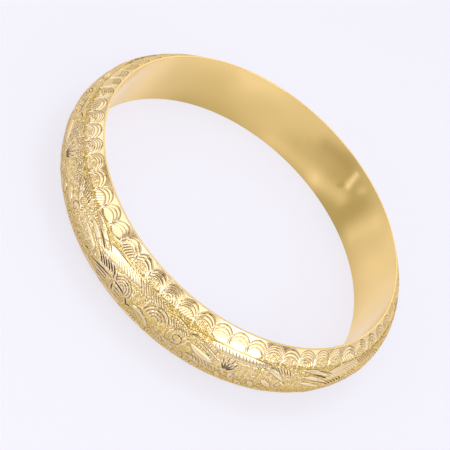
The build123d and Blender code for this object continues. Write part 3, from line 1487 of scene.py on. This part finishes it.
    def flower(self) -> list[Mark]:
        """A fan of deep wedge cuts over oval petals, with plain leaves beside it.

        Returns:
            The marks.
        """
        leaves = (((28.0, 1.6), (33.2, 0.5), 1.25, -0.05), ((36.7, 0.2), (37.8, -1.7), 1.25, 0.0),
                  ((38.6, -1.2), (40.3, -3.2), 1.25, 0.05), ((40.5, -0.1), (42.1, -1.6), 1.15, 0.0),
                  ((34.6, -1.2), (36.0, -3.6), 1.15, 0.1), ((42.6, -2.0), (45.2, -3.9), 1.15, 0.1),
                  ((42.4, 1.0), (45.0, -0.5), 1.15, 0.0))
        marks: list[Mark] = [Leaf(*leaf) for leaf in leaves]
        marks += hatch(((28.8, 3.5), (34.4, 1.5)), ((28.2, 2.5), (33.8, 0.9)), 3, width=0.34, depth=0.20,
                       lean=0.0, dark=0.55)
        marks += fan((35.5, 0.0), (46, 66, 88, 110, 130), 0.3, 2.3, width=0.62, depth=0.24, lean=0.0,
                     tip=Tip.EARLY, dark=0.8)
        marks += fan((35.5, 0.0), (56, 77, 99, 120), 1.5, 3.1, **HATCHING)
        return marks + [Cut((37.3, -0.1), (37.3, -1.4), 0.10, 0.30, 0.16, 0.0, dark=0.5),
                        Cut((39.3, -1.6), (39.7, -2.8), 0.10, 0.30, 0.16, 0.0, dark=0.5)]

    def feather(self) -> list[Mark]:
        """A bright leaf with fine barbs, over the flower.

        Returns:
            The marks.
        """
        marks: list[Mark] = [Leaf((30.6, 3.8), (42.4, 3.9), 1.75, -0.01, 0.35, 0.0)]
        return marks + hatch(((32.2, 3.0), (31.2, 4.5)), ((41.9, 3.0), (40.9, 4.6)), 15, width=0.17,
                             depth=0.10, lean=0.0, bend=0.08, tip=Tip.EARLY, dark=0.2)

    def rings(self) -> list[Mark]:
        """Fine rings in place of the feather, over the flower.

        Returns:
            The marks.
        """
        centres = ((31.2, 2.7), (35.2, 3.3), (39.3, 2.9), (43.0, 2.2))
        return [mark for centre in centres for radius in (0.45, 0.85, 1.25, 1.65)
                for mark in curl(centre, radius, 195, -210, 1.0, 5, width=0.30, depth=0.16, lean=0.2)]

    def buds(self) -> list[Mark]:
        """Leaves on bare ground and a row of punched dots, which lead to the next spray.

        Returns:
            The marks.
        """
        marks: list[Mark] = [Leaf((42.0, 3.5), (46.2, 1.7), 1.1, 0.08)]
        marks += hatch(((42.2, 4.5), (44.2, 3.2)), ((46.8, 4.1), (47.6, 2.6)), 7, **HATCHING)
        marks += curl((46.3, 0.4), 1.1, 30, 380, 0.3, 8, **{**SCROLL, "width": 0.44})
        marks += curl((46.9, -2.4), 1.4, 200, -380, 0.3, 8, **SCROLL)
        marks += fan((48.6, -4.6), (70, 95, 120, 145), 0.4, 2.2, width=0.48, depth=0.21, lean=0.0, dark=0.3)
        return marks + [Bead((47.6 + 0.44 * k, 4.2 - 0.5 * k), 0.24, 0.14) for k in range(8)]

    def under_leaf(self) -> list[Mark]:
        """The lower edge's leaves and curls, under the spray.

        Returns:
            The marks.
        """
        marks: list[Mark] = [Leaf((4.2, -3.0), (9.0, -3.9), 1.0, 0.06),
                             Leaf((9.8, -3.9), (14.8, -3.1), 1.05, 0.05),
                             Leaf((15.4, -3.9), (20.2, -4.0), 1.0, 0.08)]
        marks += curl((2.2, -2.4), 1.6, 120, 420, 0.3, 9, **SCROLL)
        return marks + fan((18.2, -2.0), (200, 222, 244, 266, 288), 0.3, 1.9, **{**SCROLL, "lean": 0.0})

    def motif(self, repeat: int) -> list[Mark]:
        """All the marks of one repeat: every other one has rings over its flower instead of the feather.

        Args:
            repeat: The number of the repeat, from 0.

        Returns:
            The marks.
        """
        over = self.feather if repeat % 2 else self.rings
        parts = (self.petals, self.spray, self.lobes, self.scrolls, self.flower, over, self.buds,
                 self.under_leaf)
        return [mark for part in parts for mark in part()]

    def filler(self) -> list[Mark]:
        """The shorter run of scrolls at the back, where the repeats don't meet.

        Returns:
            The marks.
        """
        marks: list[Mark] = []
        for at, side in ((3.0, 1), (9.0, -1), (15.0, 1), (21.0, -1)):
            ways = tuple(side * way for way in (30, 55, 80, 105, 130, 155))
            marks += curl((at, 1.6 * side), 2.1, 90 * side, 420 * side, 0.25, 10, width=0.44, **FILLING)
            marks += fan((at + 0.4, -3.9 * side), ways, 0.5, 2.6, width=0.5, tip=Tip.LATE, **FILLING)
            marks.append(Leaf((at + 2.2, 3.9 * side), (at + 5.6, 2.2 * side), 0.9, 0.1))
        return marks

    def relief(self) -> tuple[np.ndarray, np.ndarray, np.ndarray, np.ndarray]:
        """Engraves the whole field.

        Returns:
            The heights, and the shares of matt ground, of depth, and of old polish with painted shade, by row
            and column.
        """
        length = TURN * self.sizes.crown_radius
        end = length / 2 - self.sizes.joint_gap / 2
        x = np.linspace(-end, end, self.columns)
        half = self.sizes.dome_length / 2 - self.edge
        y = np.linspace(half, -half, self.rows)
        ground = Relief(x, y[::-1])
        first = self.first_motif * length
        marks = [m.moved(first + k * self.motif_length) for k in range(self.motifs) for m in self.motif(k)]
        marks += [m.moved(first + self.motifs * self.motif_length) for m in self.filler()]
        for shift in (-length, 0.0):
            ground.draw([m.moved(shift) for m in marks])
        heights, matt = ground.heights(np.random.default_rng(self.ring_seed))
        # Painted shade on the lower side of the dome, and a painted highlight with some wear on its upper
        # side
        lower_shade = self.lower_shade * np.interp(-y, self.lower_shade_at, (0, 1, 1, 0))[:, None]
        wear_and_highlight = self.wear_and_sheen * np.interp(y, self.wear_and_sheen_at, (0, 1, 1, 0))[:, None]
        matt, dirt = matt[::-1] * (1 - wear_and_highlight), np.maximum(ground.dirt[::-1], lower_shade)
        ease = np.clip((half - np.abs(y)) / self.edge_ease, 0, 1)[:, None]
        heights = heights[::-1] * ease - Relief.SEAM * (1 - ease)
        return heights, matt, recesses(heights), dirt

    def build(self) -> list[bpy.types.Object]:
        """Makes the field, in sectors that meet edge to edge.

        Returns:
            The sectors.
        """
        heights, *masks = self.relief()
        gap = self.sizes.joint_gap / 2 / self.sizes.crown_radius
        angles = np.linspace(-math.pi + gap, math.pi - gap, self.columns)
        along = np.linspace(self.edge, self.sizes.dome_length - self.edge, self.rows)
        outer_r, outer_z, tilt = (value[:, None] for value in self.sizes.dome(along))
        back_r, back_z = self.sizes.lining(np.linspace(along[-1], along[0], self.back_rows))
        bounds = np.linspace(0, self.columns - 1, self.sectors + 1).astype(int)
        pieces = []
        for k in range(self.sectors):
            part = slice(bounds[k], bounds[k + 1] + 1)
            width = part.stop - part.start
            r = outer_r + heights[:, part] * np.cos(tilt)
            z = outer_z + heights[:, part] * np.sin(tilt)
            r = np.concatenate([r, np.repeat(back_r[:, None], width, 1)])
            z = np.concatenate([z, np.repeat(back_z[:, None], width, 1)])
            name = f"shell_field_{k + 1}"
            values = {key: mask[:, part] for key, mask in zip(MASKS, masks)}
            mesh = Loft(around(angles[None, part], r, z), self.rows, True, values).mesh(name)
            unroll_map(mesh, angles[part][0], angles[part][-1], self.lanes, self.sizes)
            pieces.append(self.shop.place(name, mesh, "outer_shell", Surface.ENGRAVED))
        return pieces


@dataclass
class ShellJoint:
    """The solder line that closes the shell's strip, engraved over with the rest."""

    sizes: BandSizes
    shop: GoldShop
    border: ScallopBorder
    field_part: EngravedField
    back_rows: int = 24
    columns: int = 3

    def build(self) -> bpy.types.Object:
        """Makes the line, whose face follows what is beside it.

        Returns:
            The finished line.
        """
        edge_heights = -self.border.edge_depth
        field_heights = self.field_part.relief()[0][:, 0]
        heights = np.concatenate([edge_heights[:-1], field_heights, edge_heights[-2::-1]])
        length = self.sizes.dome_length
        edge = self.field_part.edge
        middle = np.linspace(edge, length - edge, self.field_part.rows)
        along = np.concatenate([self.border.along[:-1], middle, length - self.border.along[-2::-1]])
        outer_r, outer_z, tilt = self.sizes.dome(along)
        outer_r = np.maximum(outer_r + heights * np.cos(tilt), self.sizes.foot_radius)
        outer_z = outer_z + heights * np.sin(tilt)
        back = np.linspace(length - self.sizes.sheet, self.sizes.sheet, self.back_rows)
        back_r, back_z = self.sizes.lining(back)
        r, z = np.concatenate([outer_r, back_r]), np.concatenate([outer_z, back_z])
        gap = self.sizes.joint_gap / 2 / self.sizes.crown_radius
        angles = math.pi + np.linspace(-gap, gap, self.columns)
        points = around(angles[None, :], r[:, None], z[:, None])
        mesh = Loft(points, len(along), True).mesh("shell_joint_line")
        return self.shop.place("shell_joint_line", mesh, "shell_joint_solder", Surface.SOLDER)


# ---------------------------------------------------------------- the liner


@dataclass(frozen=True)
class Dent:
    """A shallow dent in the polished face, along a line between two places of angle and height.

    Its tone is painted light: above zero it paints the dent darker, as a dark reflection, and below zero it
    paints a bright streak, a painted highlight.
    """

    start: tuple[float, float]
    end: tuple[float, float]
    reach: float
    depth: float
    tone: float

    def swell(self, angles: np.ndarray, heights: np.ndarray, radius: float) -> np.ndarray:
        """Measures how much of the dent is felt at each place.

        Args:
            angles: The columns' angles.
            heights: The rows' heights.
            radius: The radius of the face.

        Returns:
            A share at each place, 1 along the dent's line.
        """
        x = angles[None, :] * radius - math.radians(self.start[0]) * radius
        y = heights[:, None] - self.start[1]
        run = math.radians(self.end[0] - self.start[0]) * radius
        rise = self.end[1] - self.start[1]
        t = np.clip((x * run + y * rise) / (run**2 + rise**2 + NIL), 0, 1)
        return np.exp(-(np.hypot(x - t * run, y - t * rise) / self.reach) ** 2)


@dataclass
class Liner:
    """The polished band inside, with the soft waves that hand polishing leaves."""

    sizes: BandSizes
    shop: GoldShop
    columns: int = 1081
    rows: int = 64
    joint_columns: int = 3
    edge_round: float = 0.12
    edge_rows: int = 5
    waves: int = 26
    wave_seed: int = 5
    wave_depth: float = 0.14
    wave_turns: tuple[int, int] = (2, 15)
    wave_lean: float = 1.3
    wave_size: tuple[float, float] = (0.4, 1.0)
    deepest: float = 0.30

    # The dents' shapes are real; their tones paint the liner's dark reflections and bright streaks into its
    # colour
    DENTS = (
        Dent((174.5, 9.6), (164.5, 11.0), 2.0, 0.12, 0.30),
        Dent((158.8, 7.9), (159.7, 11.0), 0.75, 0.20, -0.40),
        Dent((190.0, 1.4), (171.0, 2.4), 2.5, 0.03, -0.24),
        Dent((168.0, 2.2), (158.0, 5.0), 2.1, 0.03, -0.22),
        Dent((152.0, 3.5), (150.0, 9.0), 1.2, 0.10, 0.12),
        Dent((153.9, 9.9), (153.4, 10.6), 0.9, 0.03, -0.14),
        Dent((180.5, 7.4), (173.5, 6.9), 1.00, 0.06, 0.07),
        Dent((161.2, 6.0), (160.6, 7.0), 0.50, 0.06, 0.14),
        Dent((143.0, 3.0), (140.0, 10.0), 2.4, 0.03, -0.26),
    )

    def dips(self, angles: np.ndarray, heights: np.ndarray) -> np.ndarray:
        """How deep the polished face dips, from its waves and dents, at each place.

        Args:
            angles: The columns' angles.
            heights: The rows' heights.

        Returns:
            The depths, from 0 on.
        """
        rng = np.random.default_rng(self.wave_seed)
        total = np.zeros((len(heights), len(angles)))
        most = 0.0
        for _ in range(self.waves):
            turns = rng.integers(*self.wave_turns)
            slope = rng.uniform(-self.wave_lean, self.wave_lean) * TURN / (2 * self.sizes.width)
            phase = rng.uniform(0, TURN)
            size = rng.uniform(*self.wave_size) / math.sqrt(turns)
            total += size * np.sin(turns * angles[None, :] + slope * heights[:, None] + phase)
            most += size
        depth = self.wave_depth * (0.5 + 0.5 * total / most)
        for dent in self.DENTS:
            depth += dent.depth * dent.swell(angles, heights, self.sizes.inner_radius)
        return np.clip(depth, 0, self.deepest)

    def dent_shading(self, angles: np.ndarray, heights: np.ndarray) -> np.ndarray:
        """How far the dents' painted shade and painted highlights take the tone from level, at each place.

        Args:
            angles: The columns' angles.
            heights: The rows' heights.

        Returns:
            LEVEL where nothing is dented, up to 1 under painted shade and down to 0 under a painted
            highlight.
        """
        tone = np.full((len(heights), len(angles)), LEVEL)
        for dent in self.DENTS:
            tone += dent.tone * dent.swell(angles, heights, self.sizes.inner_radius)
        return np.clip(tone, 0, 1)

    def ring(self, low: float, high: float, columns: int) -> tuple[np.ndarray, np.ndarray]:
        """Sets out a stretch of the liner: the polished face, then the hidden one.

        Args:
            low: The angle where it starts.
            high: The angle where it ends.
            columns: How many columns it has.

        Returns:
            The points in metres, and the polished face's painted shading from the dents.
        """
        angles = np.linspace(low, high, columns)
        turn = np.linspace(0, math.pi / 2, self.edge_rows)
        round_in = self.edge_round * (1 - np.sin(turn))
        round_up = self.edge_round * (1 - np.cos(turn))
        flat = np.linspace(self.edge_round, self.sizes.width - self.edge_round, self.rows)[1:-1]
        z = np.concatenate([round_up, flat, self.sizes.width - round_up[::-1]])
        inset = np.concatenate([round_in, 0 * flat, round_in[::-1]])
        fade = np.clip(1 - inset / self.edge_round, 0, 1)[:, None]
        r = self.sizes.inner_radius + inset[:, None] + fade * self.dips(angles, z)
        dent_shading = self.dent_shading(angles, z)
        outside = self.sizes.liner_radius + np.zeros((2, columns))
        r = np.concatenate([r, outside])
        z = np.concatenate([z, [self.sizes.width, 0]])
        return around(angles[None, :], r, z[:, None]), dent_shading

    def stretch(self, name: str, node: str, low: float, high: float, columns: int,
                surface: Surface) -> bpy.types.Object:
        """Makes one stretch of the liner.

        Args:
            name: The piece's name.
            node: The CAD node that it stands for.
            low: The angle where it starts.
            high: The angle where it ends.
            columns: How many columns it has.
            surface: Its finish.

        Returns:
            The finished stretch.
        """
        # The dents' painted shade and highlights go to the mask that the polished gold reads
        points, dent_shading = self.ring(low, high, columns)
        mesh = Loft(points, len(dent_shading), True, {"deep": dent_shading}).mesh(name)
        return self.shop.place(name, mesh, node, surface)

    def build(self) -> None:
        """Makes the band and the solder line that closes it, on the near side."""
        gap = self.sizes.joint_gap / 2 / self.sizes.inner_radius
        self.stretch("liner_band", "inner_liner", gap, TURN - gap, self.columns, Surface.POLISHED)
        self.stretch("liner_joint_line", "liner_joint_solder", -gap, gap, self.joint_columns, Surface.SOLDER)


# ---------------------------------------------------------------- the studio


@dataclass(frozen=True)
class Softbox:
    """A soft rectangular lamp that faces the bangle. Sizes are in bangle radii."""

    name: str
    azimuth: float
    elevation: float
    width: float
    height: float
    radiance: float
    distance: float = 14.0


@dataclass
class Studio:
    """The pale floor, the soft light and the camera."""

    sizes: BandSizes
    elevation: float = math.radians(39.80)
    roll: float = math.radians(45.0)
    distance: float = 8.189
    aim_right: float = -0.0748
    aim_up: float = -0.0576
    lens: float = 112.0
    nearest: float = 0.01
    floor_reach: float = 60.0
    floor_colour: Triple = (0.910, 0.905, 1.0)
    glow: float = 0.73
    lamp_colour: Triple = (0.95, 0.965, 1.0)
    horizon: Triple = (1.0, 0.99, 1.0)
    horizon_from: float = 0.36
    horizon_full: float = 0.08
    horizon_strength: float = 0.82
    sky: Triple = (1.0, 0.84, 0.62)
    sky_strength: float = 0.34

    LAMPS = (
        Softbox("key", 52, 30, 6.5, 5.0, 2.4),
        Softbox("left_key", -26, 19, 6.5, 6.0, 2.2),
        Softbox("left_front", -62, 48, 8.0, 7.0, 1.2),
        Softbox("right_front", 61, 54, 9.0, 6.0, 1.2),
        Softbox("left_side", -106, 30, 10.0, 7.0, 0.95),
        Softbox("right_side", 106, 32, 10.0, 7.0, 0.95),
        Softbox("back", 180, 40, 10.0, 8.0, 0.85),
        Softbox("top", 180, 82, 10.0, 10.0, 1.8),
        Softbox("front_high", 0, 51, 11.0, 2.6, 2.0),
    )

    def camera(self) -> None:
        """Sets the camera at the viewing angle, rolled about its own axis."""
        radius = self.sizes.inner_radius * MM
        back = Vector((0, -math.cos(self.elevation), math.sin(self.elevation)))
        level = Vector((1, 0, 0))
        rise = back.cross(level)
        right = level * math.cos(self.roll) + rise * math.sin(self.roll)
        up = rise * math.cos(self.roll) - level * math.sin(self.roll)
        aim = Vector((0, 0, self.sizes.half * MM)) + (right * self.aim_right + up * self.aim_up) * radius
        data = bpy.data.cameras.new("camera")
        data.lens = self.lens
        data.clip_start = self.nearest
        camera = add_object("camera", data)
        camera.matrix_world = Matrix.Translation(aim + back * self.distance * radius) @ Matrix(
            (right, up, back)).transposed().to_4x4()
        bpy.context.scene.camera = camera

    def floor(self) -> None:
        """Lays the floor, which camera and mirror rays see as a pale even ground with a faint shadow."""
        size = self.floor_reach * self.sizes.inner_radius * MM
        corners = [(-size, -size, 0), (size, -size, 0), (size, size, 0), (-size, size, 0)]
        mesh = bpy.data.meshes.new("floor")
        mesh.from_pydata(corners, [], [(0, 1, 2, 3)])
        floor = add_object("floor", mesh)
        material = bpy.data.materials.new("pale_floor")
        material.use_nodes = True
        material.node_tree.nodes.clear()
        tree = Tree(material.node_tree)
        colour = (*self.floor_colour, 1)
        paper = tree.add("ShaderNodeBsdfDiffuse", {"Color": colour}).outputs[0]
        glow = tree.add("ShaderNodeEmission", {"Color": colour, "Strength": 1.0}).outputs[0]
        path = tree.add("ShaderNodeLightPath").outputs
        seen = tree.math("ADD", path["Is Camera Ray"], path["Is Glossy Ray"])
        seen = tree.math("ADD", seen, path["Is Transmission Ray"], clamp=True)
        share = tree.math("MULTIPLY", seen, self.glow)
        mixed = tree.add("ShaderNodeMixShader", {0: share, 1: paper, 2: glow}).outputs[0]
        tree.add("ShaderNodeOutputMaterial", {"Surface": mixed})
        mesh.materials.append(material)

    def lamps(self) -> None:
        """Hangs the soft lamps round the bangle."""
        radius = self.sizes.inner_radius * MM
        for box in self.LAMPS:
            data = bpy.data.lights.new(box.name, "AREA")
            data.shape = "RECTANGLE"
            data.size = box.width * radius
            data.size_y = box.height * radius
            data.color = self.lamp_colour
            data.energy = box.radiance * math.pi * data.size * data.size_y
            azimuth, rise = math.radians(box.azimuth), math.radians(box.elevation)
            way = Vector((math.sin(azimuth) * math.cos(rise), -math.cos(azimuth) * math.cos(rise),
                          math.sin(rise)))
            lamp = add_object(box.name, data)
            lamp.location = way * box.distance * radius
            lamp.rotation_mode = "QUATERNION"
            lamp.rotation_quaternion = way.to_track_quat("Z", "Y")

    def world(self) -> None:
        """Sets the even light that fills the room."""
        world = bpy.data.worlds.new("room")
        bpy.context.scene.world = world
        world.use_nodes = True
        tree = Tree(world.node_tree)
        way = tree.add("ShaderNodeTexCoord").outputs["Generated"]
        rise = tree.add("ShaderNodeSeparateXYZ", {"Vector": way}).outputs["Z"]
        shade = world.node_tree.nodes["Background"].inputs
        low = tree.spread(rise, self.horizon_full, self.horizon_from, 1.0, 0.0)
        tree.feed(shade["Color"], tree.blend(low, self.sky, self.horizon))
        tree.feed(shade["Strength"], tree.spread(low, 0.0, 1.0, self.sky_strength, self.horizon_strength))

    def build(self) -> None:
        """Sets up the floor, the light and the camera."""
        bpy.context.scene.view_settings.view_transform = "Standard"
        self.camera()
        self.floor()
        self.lamps()
        self.world()
        LOG.info("studio: floor, %d lamps and camera", len(self.LAMPS))


# ---------------------------------------------------------------- the whole bangle


def plain(bounds: tuple[Vector, Vector]) -> list[list[float]]:
    """A box as plain lists of numbers."""
    return [list(corner) for corner in bounds]


def main() -> None:
    """Builds the bangle and its studio."""
    logging.basicConfig(level=logging.INFO, format="%(name)s %(message)s")
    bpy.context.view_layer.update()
    sizes = BandSizes.from_frame(frame["record"])
    shop = GoldShop()
    Studio(sizes).build()
    border = ScallopBorder(sizes, shop)
    border.build_all()
    engraved = EngravedField(sizes, shop)
    engraved.build()
    ShellJoint(sizes, shop, border, engraved).build()
    Liner(sizes, shop).build()
    for node in ("top_rim_solder", "bottom_rim_solder"):
        shop.dress(frame["nodes"][node], Surface.SOLDER)
        report(frame["nodes"][node])


if __name__ == "__main__":
    main()
